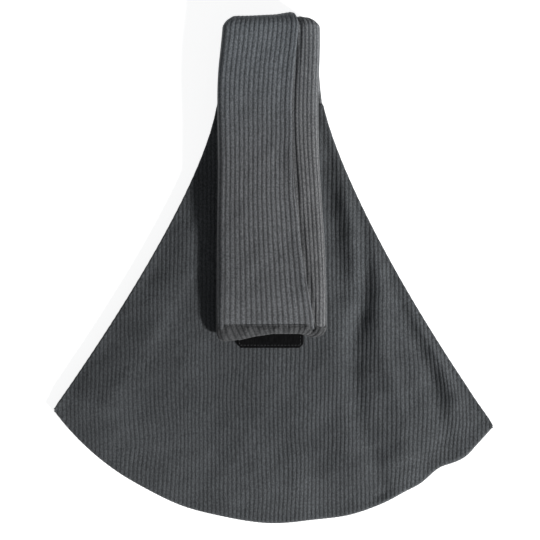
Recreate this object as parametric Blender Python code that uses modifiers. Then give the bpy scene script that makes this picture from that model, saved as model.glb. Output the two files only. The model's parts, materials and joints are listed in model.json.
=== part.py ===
"""Pouch-style baby sling, laid flat: two fan-shaped corduroy panels are sewn together along a
curved seat seam, and a padded shoulder strap folds over the top and closes on the front with
hook and loop tape.

Metres, +Z up. The sling lies on its back with the strap towards +Y. The origin is on the
surface it lies on, under the middle of its outline."""

import math

import bmesh
import bpy
from mathutils import Matrix, Vector
from mathutils.geometry import interpolate_bezier

# Outline
SLING_WIDTH = 0.500
SLING_LENGTH = 0.5760
SEAT_DROP = 0.1185  # how far the seat seam curves down below its two corners
NECK_WIDTH = 0.120
FRONT_NECK_DROP = 0.1220  # top of the front panel, hidden under the strap, below the fold
FRONT_INSET = 0.004  # the front rails lie a little inside the back ones
NECK_HANDLE = Vector((0.010, -0.060))  # how each rail leaves the neck
CORNER_HANDLE = Vector((-0.120, 0.175))  # how it arrives at the corner

# Cloth and padding
GAP = 0.0003  # clearance between layers that touch
CLOTH = 0.0020  # corduroy
LINING = 0.0012
TAPE = 0.0015  # hook tape and loop tape
FOAM = 0.0130
SEAM_WIDTH = 0.010

# Padded strap
STRAP_X = -0.004  # the strap is folded down a little left of the middle
STRAP_WIDTH = 0.114
STRAP_END_WIDTH = 0.124
STRAP_FRONT_LENGTH = 0.3700  # from the outside of the fold down the front
STRAP_BACK_LENGTH = 0.0990  # from there down the back, to the neck of the back panel
BINDING_LENGTH = 0.018
BINDING_ROUND = 0.008
LAP_INSET = 0.024  # the cover's lapped edge, in from the strap's right edge
LAP_OVERLAP = 0.008
UNDER_LIP = 0.006  # how far the cover turns under the strap's left edge
FOLD_GAP = 0.0012  # left inside the fold at the top
END_TAPER = 0.045  # length over which the strap thins towards its end
END_THICKNESS = 0.80  # thickness left there, as a share
NECK_TAPER = 0.045
NECK_THICKNESS = 0.30

# Hook and loop tape
TAPE_WIDTH = 0.075
TAPE_CORNER = 0.005
LOOP_DROP = 0.1370  # top of the loop tape, below the fold
LOOP_LENGTH = 0.240
HOOK_LENGTH = 0.160

# Heights, from the surface upwards. The strap lies folded on itself, and the front panel
# hangs below it on the tapes.
STRAP_THICKNESS = FOAM + 2 * (CLOTH + GAP)
FLAP_Z = STRAP_THICKNESS + FOLD_GAP
TOP_Z = FLAP_Z + STRAP_THICKNESS
HOOK_Z = FLAP_Z - GAP - TAPE
LOOP_Z = HOOK_Z - GAP - TAPE
FRONT_SHELL_Z = LOOP_Z - GAP - CLOTH
FRONT_LINING_Z = FRONT_SHELL_Z - GAP - LINING
BACK_LINING_Z = CLOTH + GAP
SEAM_Z = BACK_LINING_Z + LINING + GAP

# The seat seam is an arc through both corners and the lowest point.
FOLD_Y = SLING_LENGTH / 2
SEAT_RADIUS = (SLING_WIDTH**2 / 4 + SEAT_DROP**2) / (2 * SEAT_DROP)
SEAT_CENTRE_Y = SEAT_RADIUS - FOLD_Y
CORNER_Y = SEAT_DROP - FOLD_Y
NECK_Y = FOLD_Y - STRAP_BACK_LENGTH
FRONT_NECK_Y = FOLD_Y - FRONT_NECK_DROP
ROLL_Y = FOLD_Y - TOP_Z / 2  # axis of the fold
STRAP_END_Y = FOLD_Y - STRAP_FRONT_LENGTH
BINDING_Y = STRAP_END_Y + BINDING_LENGTH

CHARCOAL = (0.085, 0.088, 0.092)
STRIP_GREY = (0.125, 0.126, 0.129)
LINING_GREY = (0.060, 0.061, 0.064)
TAPE_BLACK = (0.008, 0.008, 0.009)
HOOK_BLACK = (0.012, 0.012, 0.013)
FOAM_WHITE = (0.62, 0.61, 0.57)


def clear_scene():
    for obj in list(bpy.data.objects):
        bpy.data.objects.remove(obj, do_unlink=True)


def cloth_material(name, colour, roughness):
    material = bpy.data.materials.new(name)
    material.use_nodes = True
    shader = material.node_tree.nodes["Principled BSDF"]
    shader.inputs["Base Color"].default_value = (*colour, 1)
    shader.inputs["Roughness"].default_value = roughness
    shader.inputs["Metallic"].default_value = 0
    return material


def add_to_sling(name, data, colour, roughness=0.9):
    """A new object in the sling's collection, with its own material."""
    obj = bpy.data.objects.new(name, data)
    data.materials.append(cloth_material(name, colour, roughness))
    bpy.data.collections["baby_sling"].objects.link(obj)
    return obj


# Flat cloth pieces


def seat_arc(inset, steps=28):
    """The seat seam from the right corner to the left, moved in by inset."""
    radius = SEAT_RADIUS - inset
    half = math.acos((SEAT_CENTRE_Y - CORNER_Y) / radius)
    points = []
    for i in range(steps + 1):
        angle = half - 2 * half * i / steps
        x = radius * math.sin(angle)
        points.append(Vector((x, SEAT_CENTRE_Y - radius * math.cos(angle))))
    return points


def rail(side, inset, top_y, steps=22):
    """One free edge, from top_y down to the seat corner. Side is 1 on the right, -1 on the left."""
    neck = Vector((NECK_WIDTH / 2 + side * STRAP_X, NECK_Y))
    corner = Vector((SLING_WIDTH / 2, CORNER_Y))
    curve = interpolate_bezier(
        neck, neck + NECK_HANDLE, corner + CORNER_HANDLE, corner, steps
    )
    below = [p for p in curve if p.y < top_y]
    last_above = curve[len(curve) - len(below) - 1]
    share = (top_y - below[0].y) / (last_above.y - below[0].y)
    cut = below[0].lerp(last_above, share)
    return [Vector((side * (p.x - inset), p.y)) for p in [cut, *below]]


def back_outline(inset):
    """The whole fan: right rail down, seat seam to the left, left rail up."""
    right = rail(1, inset, NECK_Y)
    left = rail(-1, inset, NECK_Y)
    return right[:-1] + seat_arc(inset) + left[-2::-1]


def front_outline():
    """The part of the front that opens: both rails, and the line between the seat corners."""
    right = rail(1, FRONT_INSET, FRONT_NECK_Y)
    left = rail(-1, FRONT_INSET, FRONT_NECK_Y)
    for corner in (right[-1], left[-1]):
        corner.y += GAP
    return right + left[::-1]


def rounded_rectangle(x_middle, width, y_low, length, radius, steps=4):
    points = []
    corners = ((1, 1), (-1, 1), (-1, -1), (1, -1))
    for quarter, (right, up) in enumerate(corners):
        x = x_middle + right * (width / 2 - radius)
        y = y_low + length / 2 + up * (length / 2 - radius)
        for i in range(steps + 1):
            angle = math.radians(90 * (quarter + i / steps))
            points.append(Vector((x + radius * math.cos(angle), y + radius * math.sin(angle))))
    return points


def flat_piece(name, outline, z_low, thickness, colour, roughness=0.9):
    """A sheet of cloth lying level, cut to an outline."""
    curve = bpy.data.curves.new(name, "CURVE")
    curve.dimensions = "2D"
    curve.fill_mode = "BOTH"
    curve.extrude = thickness / 2
    spline = curve.splines.new("POLY")
    spline.points.add(len(outline) - 1)
    for point, place in zip(spline.points, outline):
        point.co = (place.x, place.y, 0, 1)
    spline.use_cyclic_u = True
    obj = add_to_sling(name, curve, colour, roughness)
    obj.location.z = z_low + thickness / 2
    return obj


def make_back_panel():
    flat_piece("back_shell", back_outline(0), 0, CLOTH, CHARCOAL)
    flat_piece("back_lining", back_outline(GAP), BACK_LINING_Z, LINING, LINING_GREY)


def make_seat_seam():
    """The bound seam that joins both panels, inside the pouch along the arc."""
    band = seat_arc(GAP) + seat_arc(SEAM_WIDTH)[::-1]
    height = FRONT_LINING_Z - GAP - SEAM_Z
    flat_piece("seat_seam_binding", band, SEAM_Z, height, LINING_GREY)


def make_front_panel():
    """Each front layer folds along the line between the seat's corners."""
    layers = (
        ("front_shell", FRONT_SHELL_Z, CLOTH, CHARCOAL),
        ("front_lining", FRONT_LINING_Z, LINING, LINING_GREY),
    )
    for name, z, thickness, colour in layers:
        flat_piece(name, front_outline(), z, thickness, colour)
        flat_piece(name + "_seat", seat_arc(FRONT_INSET), z, thickness, colour)


def make_tapes():
    loop_low = FOLD_Y - LOOP_DROP - LOOP_LENGTH
    loop = rounded_rectangle(STRAP_X, TAPE_WIDTH, loop_low, LOOP_LENGTH, TAPE_CORNER)
    flat_piece("loop_tape", loop, LOOP_Z, TAPE, TAPE_BLACK, 0.95)
    hook_low = BINDING_Y + TAPE_CORNER
    hook = rounded_rectangle(STRAP_X, TAPE_WIDTH, hook_low, HOOK_LENGTH, TAPE_CORNER)
    flat_piece("hook_tape", hook, HOOK_Z, TAPE, HOOK_BLACK, 0.6)


# Padded strap. Its section is drawn across the strap: x from its middle, and height from its
# inner face, which the fold turns inwards.


def section_arc(x, z, radius, start, end, steps=8):
    points = []
    for i in range(steps + 1):
        angle = math.radians(start + (end - start) * i / steps)
        points.append((x + radius * math.cos(angle), z + radius * math.sin(angle)))
    return points


HALF = STRAP_WIDTH / 2
LEFT_ROUND = STRAP_THICKNESS / 2
STRIP_TOP = STRAP_THICKNESS - CLOTH - GAP  # the facing's strip lies one cloth lower
RIGHT_ROUND = STRIP_TOP / 2
LEFT_X = LEFT_ROUND - HALF
RIGHT_X = HALF - RIGHT_ROUND
LAP_X = HALF - LAP_INSET
TONGUE_X = LAP_X - LAP_OVERLAP


def cover_section():
    """Outer face, left edge, and a lip turned under it."""
    lip_x = LEFT_X + UNDER_LIP
    outside = section_arc(LEFT_X, LEFT_ROUND, LEFT_ROUND, 90, 270)
    inside = section_arc(LEFT_X, LEFT_ROUND, LEFT_ROUND - CLOTH, 270, 90)
    lap_edge = [(LAP_X, STRAP_THICKNESS - CLOTH), (LAP_X, STRAP_THICKNESS)]
    return outside + [(lip_x, 0), (lip_x, CLOTH)] + inside + lap_edge


def facing_section():
    """Inner face, right edge, and a tongue that runs in under the lap."""
    butt_x = LEFT_X + UNDER_LIP + GAP
    outside = section_arc(RIGHT_X, RIGHT_ROUND, RIGHT_ROUND, -90, 90)
    inside = section_arc(RIGHT_X, RIGHT_ROUND, RIGHT_ROUND - CLOTH, 90, -90)
    tongue = [(TONGUE_X, STRIP_TOP), (TONGUE_X, STRIP_TOP - CLOTH)]
    return outside + tongue + inside + [(butt_x, CLOTH), (butt_x, 0)]


def foam_section():
    """Fills the cover and the facing, and steps down under the tongue."""
    wall = CLOTH + GAP
    left = section_arc(LEFT_X, LEFT_ROUND, LEFT_ROUND - wall, 270, 90)
    right = section_arc(RIGHT_X, RIGHT_ROUND, RIGHT_ROUND - wall, 90, -90)
    step_x = TONGUE_X - GAP
    step = [(step_x - CLOTH, STRIP_TOP), (step_x, STRIP_TOP - wall)]
    return left + step + right


def section_face(bm, section):
    """The section as one face across the strap, just where the fold begins."""
    verts = [bm.verts.new((STRAP_X + x, ROLL_Y, FLAP_Z + z)) for x, z in section]
    return bm.faces.new(verts)


def extend(bm, face, y, width=1.0, thickness=1.0, still_z=0.0):
    """Extrude an end face to y, then scale it across the strap and about still_z."""
    grown = bmesh.ops.extrude_face_region(bm, geom=[face, *face.edges])["geom"]
    verts = [item for item in grown if isinstance(item, bmesh.types.BMVert)]
    for vert in verts:
        vert.co.x = STRAP_X + (vert.co.x - STRAP_X) * width
        vert.co.y = y
        vert.co.z = still_z + (vert.co.z - still_z) * thickness
    return next(item for item in grown if isinstance(item, bmesh.types.BMFace))


def strap_object(name, bm, colour):
    bmesh.ops.recalc_face_normals(bm, faces=bm.faces)
    mesh = bpy.data.meshes.new(name)
    bm.to_mesh(mesh)
    bm.free()
    obj = add_to_sling(name, mesh, colour)
    mesh.shade_smooth()
    mesh.set_sharp_from_angle(angle=math.radians(40))
    return obj


def front_strap_piece(name, section, colour):
    """From the fold down the front, widening, and thinner towards its end."""
    bm = bmesh.new()
    root = section_face(bm, section)
    bmesh.ops.translate(bm, vec=(0, -GAP, 0), verts=root.verts)
    length = ROLL_Y - BINDING_Y
    widening = STRAP_END_WIDTH / STRAP_WIDTH - 1
    taper_width = 1 + widening * (length - END_TAPER) / length
    thick = extend(bm, root, BINDING_Y + END_TAPER, taper_width, 1, FLAP_Z)
    end_width = (1 + widening) / taper_width
    extend(bm, thick, BINDING_Y, end_width, END_THICKNESS, FLAP_Z)
    return strap_object(name, bm, colour)


def back_strap_piece(name, section, colour):
    """Over the fold and down the back, thinning to meet the neck."""
    bm = bmesh.new()
    top = section_face(bm, section)
    turned = bmesh.ops.spin(
        bm,
        geom=[top],
        cent=(0, ROLL_Y, TOP_Z / 2),
        axis=(-1, 0, 0),
        angle=math.pi,
        steps=14,
    )["geom_last"]
    bottom = next(item for item in turned if isinstance(item, bmesh.types.BMFace))
    neck_width = NECK_WIDTH / STRAP_WIDTH
    thick = extend(bm, bottom, NECK_Y + NECK_TAPER, 1, 1, 0)
    extend(bm, thick, NECK_Y + GAP, neck_width, NECK_THICKNESS, 0)
    return strap_object(name, bm, colour)


def make_strap():
    pieces = (
        ("strap_cover", cover_section(), CHARCOAL),
        ("strap_facing", facing_section(), STRIP_GREY),
        ("strap_foam", foam_section(), FOAM_WHITE),
    )
    for name, section, colour in pieces:
        front_strap_piece(name + "_front", section, colour)
        back_strap_piece(name + "_back", section, colour)


def make_end_binding():
    """A cap of cloth over the strap's free end, its corners and its edges rounded."""
    half_width = STRAP_END_WIDTH / 2
    half_height = STRAP_THICKNESS * END_THICKNESS / 2
    middle_z = FLAP_Z + half_height
    left = section_arc(half_height - half_width, 0, half_height, 90, 270)
    right = section_arc(half_width - half_height, 0, half_height, -90, 90)
    bm = bmesh.new()
    y = BINDING_Y - GAP
    verts = [bm.verts.new((STRAP_X + x, y, middle_z + z)) for x, z in left + right]
    face = bm.faces.new(verts)
    opening = face
    round_y = STRAP_END_Y + BINDING_ROUND
    face = extend(bm, face, round_y, 1, 1, middle_z)
    inset = 0.0
    steps = 4
    for i in range(1, steps + 1):
        angle = math.radians(75 * i / steps)
        new_inset = BINDING_ROUND * (1 - math.cos(angle))
        narrower = (half_width - new_inset) / (half_width - inset)
        lower = (half_height - new_inset / 2) / (half_height - inset / 2)
        y = round_y - BINDING_ROUND * math.sin(angle) / math.sin(math.radians(75))
        face = extend(bm, face, y, narrower, lower, middle_z)
        inset = new_inset
    bmesh.ops.delete(bm, geom=[opening], context="FACES_ONLY")
    binding = strap_object("strap_end_binding", bm, CHARCOAL)
    shell = binding.modifiers.new("cloth", "SOLIDIFY")
    shell.thickness = CLOTH * END_THICKNESS
    shell.offset = -1
    return binding


def main():
    clear_scene()
    collection = bpy.data.collections.new("baby_sling")
    bpy.context.scene.collection.children.link(collection)
    make_back_panel()
    make_seat_seam()
    make_front_panel()
    make_tapes()
    make_strap()
    make_end_binding()


main()
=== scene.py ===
"""The looks of a pouch-style baby sling, laid flat: two panels of charcoal corduroy, a padded
strap folded over at the top with its lapped edge, hook and loop tape, lining, seams and thread.

Metres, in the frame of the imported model. Every cloth is a grid of ribs: its columns run along
the wales, so that each wale is real relief, and its UV map counts wales in U and metres in V."""

import json
import math
from functools import partial

import bpy
import numpy as np
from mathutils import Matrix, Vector
from mathutils.geometry import interpolate_bezier


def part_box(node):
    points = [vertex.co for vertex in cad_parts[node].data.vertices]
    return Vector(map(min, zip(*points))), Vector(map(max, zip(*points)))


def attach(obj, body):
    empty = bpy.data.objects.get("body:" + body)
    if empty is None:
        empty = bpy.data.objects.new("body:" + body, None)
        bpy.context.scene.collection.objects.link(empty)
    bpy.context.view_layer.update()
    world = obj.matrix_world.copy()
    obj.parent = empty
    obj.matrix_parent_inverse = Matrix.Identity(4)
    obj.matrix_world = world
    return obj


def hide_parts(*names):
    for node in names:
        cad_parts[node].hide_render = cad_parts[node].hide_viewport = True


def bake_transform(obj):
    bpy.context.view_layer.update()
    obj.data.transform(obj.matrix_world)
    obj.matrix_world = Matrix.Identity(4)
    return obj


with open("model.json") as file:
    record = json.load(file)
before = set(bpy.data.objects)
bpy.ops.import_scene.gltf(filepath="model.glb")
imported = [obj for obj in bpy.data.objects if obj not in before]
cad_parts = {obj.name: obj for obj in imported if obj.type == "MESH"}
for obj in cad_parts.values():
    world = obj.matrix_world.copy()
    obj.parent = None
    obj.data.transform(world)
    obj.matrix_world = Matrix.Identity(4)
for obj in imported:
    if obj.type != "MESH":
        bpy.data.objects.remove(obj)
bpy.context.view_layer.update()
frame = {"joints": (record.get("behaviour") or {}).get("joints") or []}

# Places read from the frame

BACK_LOW, BACK_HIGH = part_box("back_shell")
FRONT_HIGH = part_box("front_shell")[1]
FLAP_LOW, FLAP_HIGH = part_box("strap_cover_front")
BINDING_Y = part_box("strap_end_binding")[1].y
LOOP_LOW, LOOP_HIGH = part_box("loop_tape")
HOOK_LOW, HOOK_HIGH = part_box("hook_tape")
HINGES = {joint["name"]: Vector(joint["pos_m"]) for joint in frame["joints"]}
ROLL_Y = HINGES["strap_peel"].y
CHORD_Y = HINGES["pouch_open"].y
FLAP_Z = FLAP_LOW.z
STRAP_THICKNESS = FLAP_HIGH.z - FLAP_LOW.z
TOP_Z = FLAP_HIGH.z
NECK_Y = BACK_HIGH.y
FRONT_NECK_Y = FRONT_HIGH.y
CORNER_X = BACK_HIGH.x
SEAT_DROP = CHORD_Y - BACK_LOW.y
SEAT_RADIUS = (CORNER_X**2 + SEAT_DROP**2) / (2 * SEAT_DROP)

# How the sling lies
SEAT_LEAN = 0.0074  # the lowest point of the seat lies a little to the right
SEAT_CENTRE = Vector((SEAT_LEAN, BACK_LOW.y + SEAT_RADIUS))
NECK_LEFT = -0.064
NECK_RIGHT = 0.056

# Cloth
PANEL_WALE = 0.0047  # width of one wale on the panels
STRAP_WALE = 0.0055
FACING_WALE = 0.0044
PANEL_RELIEF = 0.00024
STRAP_RELIEF = 0.00033
FACING_RELIEF = 0.00030
COLUMNS_PER_WALE = 4
CLOTH = 0.0016
STRAP_CLOTH_THICKNESS = 0.0013
LINING = 0.0008


# Numbers and shapes shared by the pieces

LINE_POINTS = 60  # in the line of a fold
SHARP = math.radians(80)  # a cloth's cut edge stays sharp, and its wales are smooth
SAME_PLACE = 0.00002  # points closer than this are one


def ripple(x, y, size, seed, waves=7):
    """Smooth uneven waves, mostly within -1 to 1, with hills about size apart."""
    rng = np.random.default_rng(seed)
    total = np.zeros(np.broadcast(x, y).shape)
    for _ in range(waves):
        angle = rng.uniform(0, 2 * math.pi)
        length = size * rng.uniform(0.8, 1.7)
        along = (x * math.cos(angle) + y * math.sin(angle)) / length
        total += np.cos(2 * math.pi * along + rng.uniform(0, 2 * math.pi))
    return total / math.sqrt(waves)


def smooth(value, low, high):
    """0 below low, 1 above high, and an S curve between."""
    t = np.clip((value - low) / (high - low), 0, 1)
    return t * t * (3 - 2 * t)


def hill(value, centre, width):
    """1 at the centre, and falling away on both sides of it."""
    return np.exp(-(((value - centre) / width) ** 2))


def wale(phase):
    """Relief of the ribs: 0 in the groove between two, 1 on top of one."""
    across = np.abs(2 * (phase - np.floor(phase)) - 1)
    return 1 - across**1.8


def soft_line(points):
    """A smooth line through a few chosen points."""
    points = np.array(points, float)
    at = np.linspace(0, len(points) - 1, LINE_POINTS)
    line = np.stack([np.interp(at, range(len(points)), points[:, k]) for k in range(2)], 1)
    reach = max(1, LINE_POINTS // (2 * len(points)))
    for _ in range(3):
        padded = np.pad(line, ((reach, reach), (0, 0)), "edge")
        window = [padded[k : k + LINE_POINTS] for k in range(2 * reach + 1)]
        line[1:-1] = np.mean(window, 0)[1:-1]
    return line


def nearest(x, y, line):
    """Distance to a line, and how far along it, from 0 to 1, the nearest point is."""
    best = np.full(x.shape, 1e9)
    along = np.zeros(x.shape)
    for k, (px, py) in enumerate(line):
        distance = (x - px) ** 2 + (y - py) ** 2
        closer = distance < best
        best[closer] = distance[closer]
        along[closer] = k / (len(line) - 1)
    return np.sqrt(best), along


def raise_wales(points, phase, relief, sway_size, seed, side=1):
    """Sink the grooves into a grid of points, whose columns follow the wales."""
    along = np.gradient(points, axis=0)
    across = np.gradient(points, axis=1)
    normal = side * np.cross(across, along)
    normal /= np.maximum(np.linalg.norm(normal, axis=2), 1e-12)[..., None]
    sway = 1 + 0.22 * ripple(points[..., 0], points[..., 1], sway_size, seed)
    depth = relief * sway * (wale(phase) - 1)
    return points + normal * depth[..., None]


def add_mesh(name, points, faces, material, rounded=True):
    """A new object made from points and faces, with one material."""
    mesh = bpy.data.meshes.new(name)
    mesh.from_pydata(points, [], faces)
    mesh.materials.append(material)
    if rounded:
        mesh.shade_smooth()
    obj = bpy.data.objects.new(name, mesh)
    bpy.context.scene.collection.objects.link(obj)
    return obj


def grid_object(name, points, uv, material, flip=False):
    """A smooth sheet from a grid of points, rows by columns, with its own UV map."""
    rows, columns = points.shape[:2]
    index = np.arange(rows * columns).reshape(rows, columns)
    corners = (index[:-1, :-1], index[:-1, 1:], index[1:, 1:], index[1:, :-1])
    faces = np.stack([c.ravel() for c in corners], 1)
    if flip:
        faces = faces[:, ::-1]
    obj = add_mesh(name, points.reshape(-1, 3).tolist(), faces.tolist(), material)
    layer = obj.data.uv_layers.new(name="wales")
    layer.data.foreach_set("uv", uv.reshape(-1, 2)[faces.ravel()].astype(np.float32).ravel())
    return obj


def select_only(obj):
    bpy.ops.object.select_all(action="DESELECT")
    obj.select_set(True)
    bpy.context.view_layer.objects.active = obj


def thicken(obj, thickness):
    """Give a sheet its thickness, on the side that its faces turn away from."""
    solid = obj.modifiers.new("cloth", "SOLIDIFY")
    solid.thickness = thickness
    solid.offset = -1
    solid.use_rim = True
    select_only(obj)
    bpy.ops.object.modifier_apply(modifier=solid.name)
    bpy.ops.object.shade_smooth_by_angle(angle=SHARP)


# Materials


def set_inputs(tree, node, inputs):
    """Link another node's output to each input, or set the input's own value."""
    for label, value in inputs.items():
        socket = node.inputs[label]
        if isinstance(value, bpy.types.NodeSocket):
            tree.links.new(value, socket)
        elif socket.type == "RGBA":
            socket.default_value = (*value, 1)
        else:
            socket.default_value = value


def new_node(tree, kind, inputs, output=0, **settings):
    """One of the outputs of a new node."""
    node = tree.nodes.new("ShaderNode" + kind)
    for label, value in settings.items():
        setattr(node, label, value)
    set_inputs(tree, node, inputs)
    return node.outputs[output]


def new_group(name, inputs):
    """A node group with named inputs, which puts out a surface's colour, roughness and normal."""
    group = bpy.data.node_groups.new(name, "ShaderNodeTree")
    for label, value in inputs.items():
        kind, value = ("Color", (*value, 1)) if isinstance(value, tuple) else ("Float", value)
        socket = group.interface.new_socket(label, in_out="INPUT", socket_type="NodeSocket" + kind)
        socket.default_value = value
    for label, kind in (("Color", "Color"), ("Roughness", "Float"), ("Normal", "Vector")):
        group.interface.new_socket(label, in_out="OUTPUT", socket_type="NodeSocket" + kind)
    return group, group.nodes.new("NodeGroupInput"), group.nodes.new("NodeGroupOutput")


def math_node(tree, operation, *values):
    return new_node(tree, "Math", dict(enumerate(values)), operation=operation)


def noise(tree, scale, detail, vector):
    inputs = {"Scale": scale, "Detail": detail, "Roughness": 0.55, "Vector": vector}
    return new_node(tree, "TexNoise", inputs, "Fac")


def stretch(tree, vector, scale):
    return new_node(tree, "Mapping", {"Scale": scale, "Vector": vector})


def remap(tree, value, low, high, to_low=0.0, to_high=1.0):
    inputs = {"Value": value, "From Min": low, "From Max": high, "To Min": to_low, "To Max": to_high}
    return new_node(tree, "MapRange", inputs, interpolation_type="SMOOTHSTEP")


def mix_colour(tree, share, first, second, blend_type="MIX"):
    inputs = {0: share, 6: first, 7: second}  # the node's colour inputs are its seventh and eighth
    return new_node(tree, "Mix", inputs, 2, data_type="RGBA", blend_type=blend_type)


def grey(tree, value):
    """A grey colour from a number."""
    return new_node(tree, "CombineColor", {0: value, 1: value, 2: value})


def x_and_y(tree, vector):
    node = tree.nodes.new("ShaderNodeSeparateXYZ")
    set_inputs(tree, node, {0: vector})
    return node.outputs[:2]


def object_place(tree):
    return new_node(tree, "TexCoord", {}, "Object")


def finish_surface(tree, target, colour, rough, height, distance, strength):
    """Feed colour, roughness and bump to a Principled shader or to a group's output."""
    normal = new_node(tree, "Bump", {"Height": height, "Distance": distance, "Strength": strength})
    label = "Color" if "Color" in target.inputs else "Base Color"
    set_inputs(tree, target, {label: colour, "Roughness": rough, "Normal": normal})


def make_pile_group():
    """Cut pile of corduroy: dark grooves, grain along the wales and random patches, with painted light:
    grooves less dark and the whole pile darker towards -x, painted shade for the side away from the key
    light, and a painted highlight, paler and bluer towards the top of the strap.
    """
    group, start, end = new_group(
        "corduroy_pile",
        {
            "Top": (0.1, 0.1, 0.1),
            "Groove": (0.02, 0.02, 0.02),
            "Patches": 0.12,
            # colour and share of the painted highlight towards the top
            "Highlight tint": (0.148, 0.175, 0.198),
            "Painted highlight": 0.0,
        },
    )
    calc = partial(math_node, group)
    wales, _ = x_and_y(group, new_node(group, "UVMap", {}, uv_map="wales"))
    place = object_place(group)
    x, y = x_and_y(group, place)
    phase = calc("FRACT", wales)
    across = calc("ABSOLUTE", calc("MULTIPLY_ADD", phase, 2.0, -1.0))
    # painted light: the grooves are less dark towards -x, standing in for how the light falls across the
    # wales
    painted_groove_light = remap(group, x, -0.20, 0.10, 0.62, 1.0)
    groove = calc("MULTIPLY", remap(group, across, 0.28, 1.0), painted_groove_light)
    grain = noise(group, 1500, 2, place)
    tufts = noise(group, 760, 3, stretch(group, place, (1.0, 0.6, 1.0)))
    patches = noise(group, 16, 4, place)
    pile = mix_colour(group, groove, start.outputs["Top"], start.outputs["Groove"])
    # painted highlight: paler, bluer pile towards the top, from y 0.10 to 0.26, standing in for the brighter
    # light there
    painted_highlight = calc("MULTIPLY", remap(group, y, 0.10, 0.26), start.outputs["Painted highlight"])
    pile = mix_colour(group, painted_highlight, pile, start.outputs["Highlight tint"])
    shade = calc("MULTIPLY_ADD", remap(group, tufts, 0.32, 0.68), 0.74, 0.46)
    shade = calc("MULTIPLY_ADD", grain, 0.70, calc("ADD", shade, -0.18))
    patches_and_painted_shade = calc("SUBTRACT", remap(group, patches, 0.3, 0.7), 0.5)
    patches_and_painted_shade = calc("MULTIPLY_ADD", patches_and_painted_shade, start.outputs["Patches"], 1.0)
    # painted shade: the pile darker towards -x, the side away from the key light; the patches above are
    # random tone
    patches_and_painted_shade = calc("MULTIPLY", patches_and_painted_shade, remap(group, x, -0.22, 0.20, 0.88, 1.06))
    shade = calc("MULTIPLY", shade, patches_and_painted_shade)
    colour = mix_colour(group, 1.0, pile, grey(group, shade), "MULTIPLY")
    rough = remap(group, tufts, 0.2, 0.8, 0.82, 0.98)
    height = calc("MULTIPLY", calc("SUBTRACT", 1.0, groove), 0.7)
    height = calc("MULTIPLY_ADD", tufts, 0.8, height)
    height = calc("MULTIPLY_ADD", grain, 0.35, height)
    finish_surface(group, end, colour, rough, height, 0.0005, 0.9)
    return group


def make_weave_group():
    """Plain weave: over and under threads in two directions, with uneven yarn."""
    inputs = {"Yarn": (0.05, 0.05, 0.05), "Threads per metre": 1400.0, "Contrast": 0.45}
    group, start, end = new_group("plain_weave", inputs)
    calc = partial(math_node, group)
    place = object_place(group)
    x, y = x_and_y(group, place)
    turns = calc("MULTIPLY", start.outputs["Threads per metre"], math.pi)
    warp = calc("SINE", calc("MULTIPLY", x, turns))
    weft = calc("SINE", calc("MULTIPLY", y, turns))
    crossing = calc("MULTIPLY", warp, weft)
    uneven = noise(group, 260, 3, place)
    fuzz = noise(group, 2200, 2, place)
    lift = calc("MULTIPLY_ADD", crossing, 0.5, 0.5)
    height = calc("MULTIPLY_ADD", uneven, 0.4, lift)
    height = calc("MULTIPLY_ADD", fuzz, 0.3, height)
    shade = calc("MULTIPLY_ADD", lift, start.outputs["Contrast"], 0.75)
    shade = calc("MULTIPLY", shade, remap(group, uneven, 0.2, 0.8, 0.85, 1.15))
    colour = mix_colour(group, 1.0, start.outputs["Yarn"], grey(group, shade), "MULTIPLY")
    rough = remap(group, uneven, 0.2, 0.8, 0.75, 0.95)
    finish_surface(group, end, colour, rough, height, 0.00025, 0.8)
    return group


def new_material(name):
    material = bpy.data.materials.new(name)
    material.use_nodes = True
    return material, material.node_tree, material.node_tree.nodes["Principled BSDF"]


def group_material(name, group, values, sheen=0.0):
    """A Principled material fed by one node group."""
    material, tree, shader = new_material(name)
    node = tree.nodes.new("ShaderNodeGroup")
    node.node_tree = group
    set_inputs(tree, node, values)
    colour, rough, normal = node.outputs
    set_inputs(tree, shader, {"Base Color": colour, "Roughness": rough, "Normal": normal})
    set_inputs(tree, shader, {"Sheen Weight": sheen, "Sheen Roughness": 0.45, "Specular IOR Level": 0.2})
    return material


def corduroy(name, top, groove, patches, highlight_share=0.0):
    values = {"Top": top, "Groove": groove, "Patches": patches, "Painted highlight": highlight_share}
    return group_material(name, PILE, values, sheen=0.12)


def plain_weave(name, yarn, threads):
    return group_material(name, WEAVE, {"Yarn": yarn, "Threads per metre": threads})


def loop_pile_material():
    """Brushed black loop pile, streaked along the tape."""
    material, tree, shader = new_material("loop_pile")
    place = object_place(tree)
    streaks = noise(tree, 900, 2, stretch(tree, place, (1.0, 0.12, 1.0)))
    loops = noise(tree, 1700, 3, place)
    colour = mix_colour(tree, remap(tree, streaks, 0.3, 0.7), (0.002, 0.002, 0.0022), (0.007, 0.007, 0.0075))
    rough = remap(tree, loops, 0.2, 0.8, 0.8, 1.0)
    finish_surface(tree, shader, colour, rough, math_node(tree, "ADD", streaks, loops), 0.0004, 0.9)
    shader.inputs["Specular IOR Level"].default_value = 0.08
    return material


def foam_material():
    """Pale open-celled foam."""
    material, tree, shader = new_material("padding_foam")
    place = object_place(tree)
    depth = new_node(tree, "TexVoronoi", {"Scale": 900, "Vector": place}, "Distance")
    colour = mix_colour(tree, noise(tree, 60, 3, place), (0.55, 0.53, 0.46), (0.68, 0.67, 0.62))
    finish_surface(tree, shader, colour, remap(tree, depth, 0.0, 0.6, 0.85, 1.0), depth, 0.0004, 0.7)
    return material


def grained_material(name, scale, detail, squeeze, colours, rough, distance, strength):
    """One fine grain in the colour, the gloss and the relief."""
    material, tree, shader = new_material(name)
    grain = noise(tree, scale, detail, stretch(tree, object_place(tree), squeeze))
    colour = mix_colour(tree, grain, *colours)
    finish_surface(tree, shader, colour, remap(tree, grain, 0.2, 0.8, *rough), grain, distance, strength)
    return material


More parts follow.
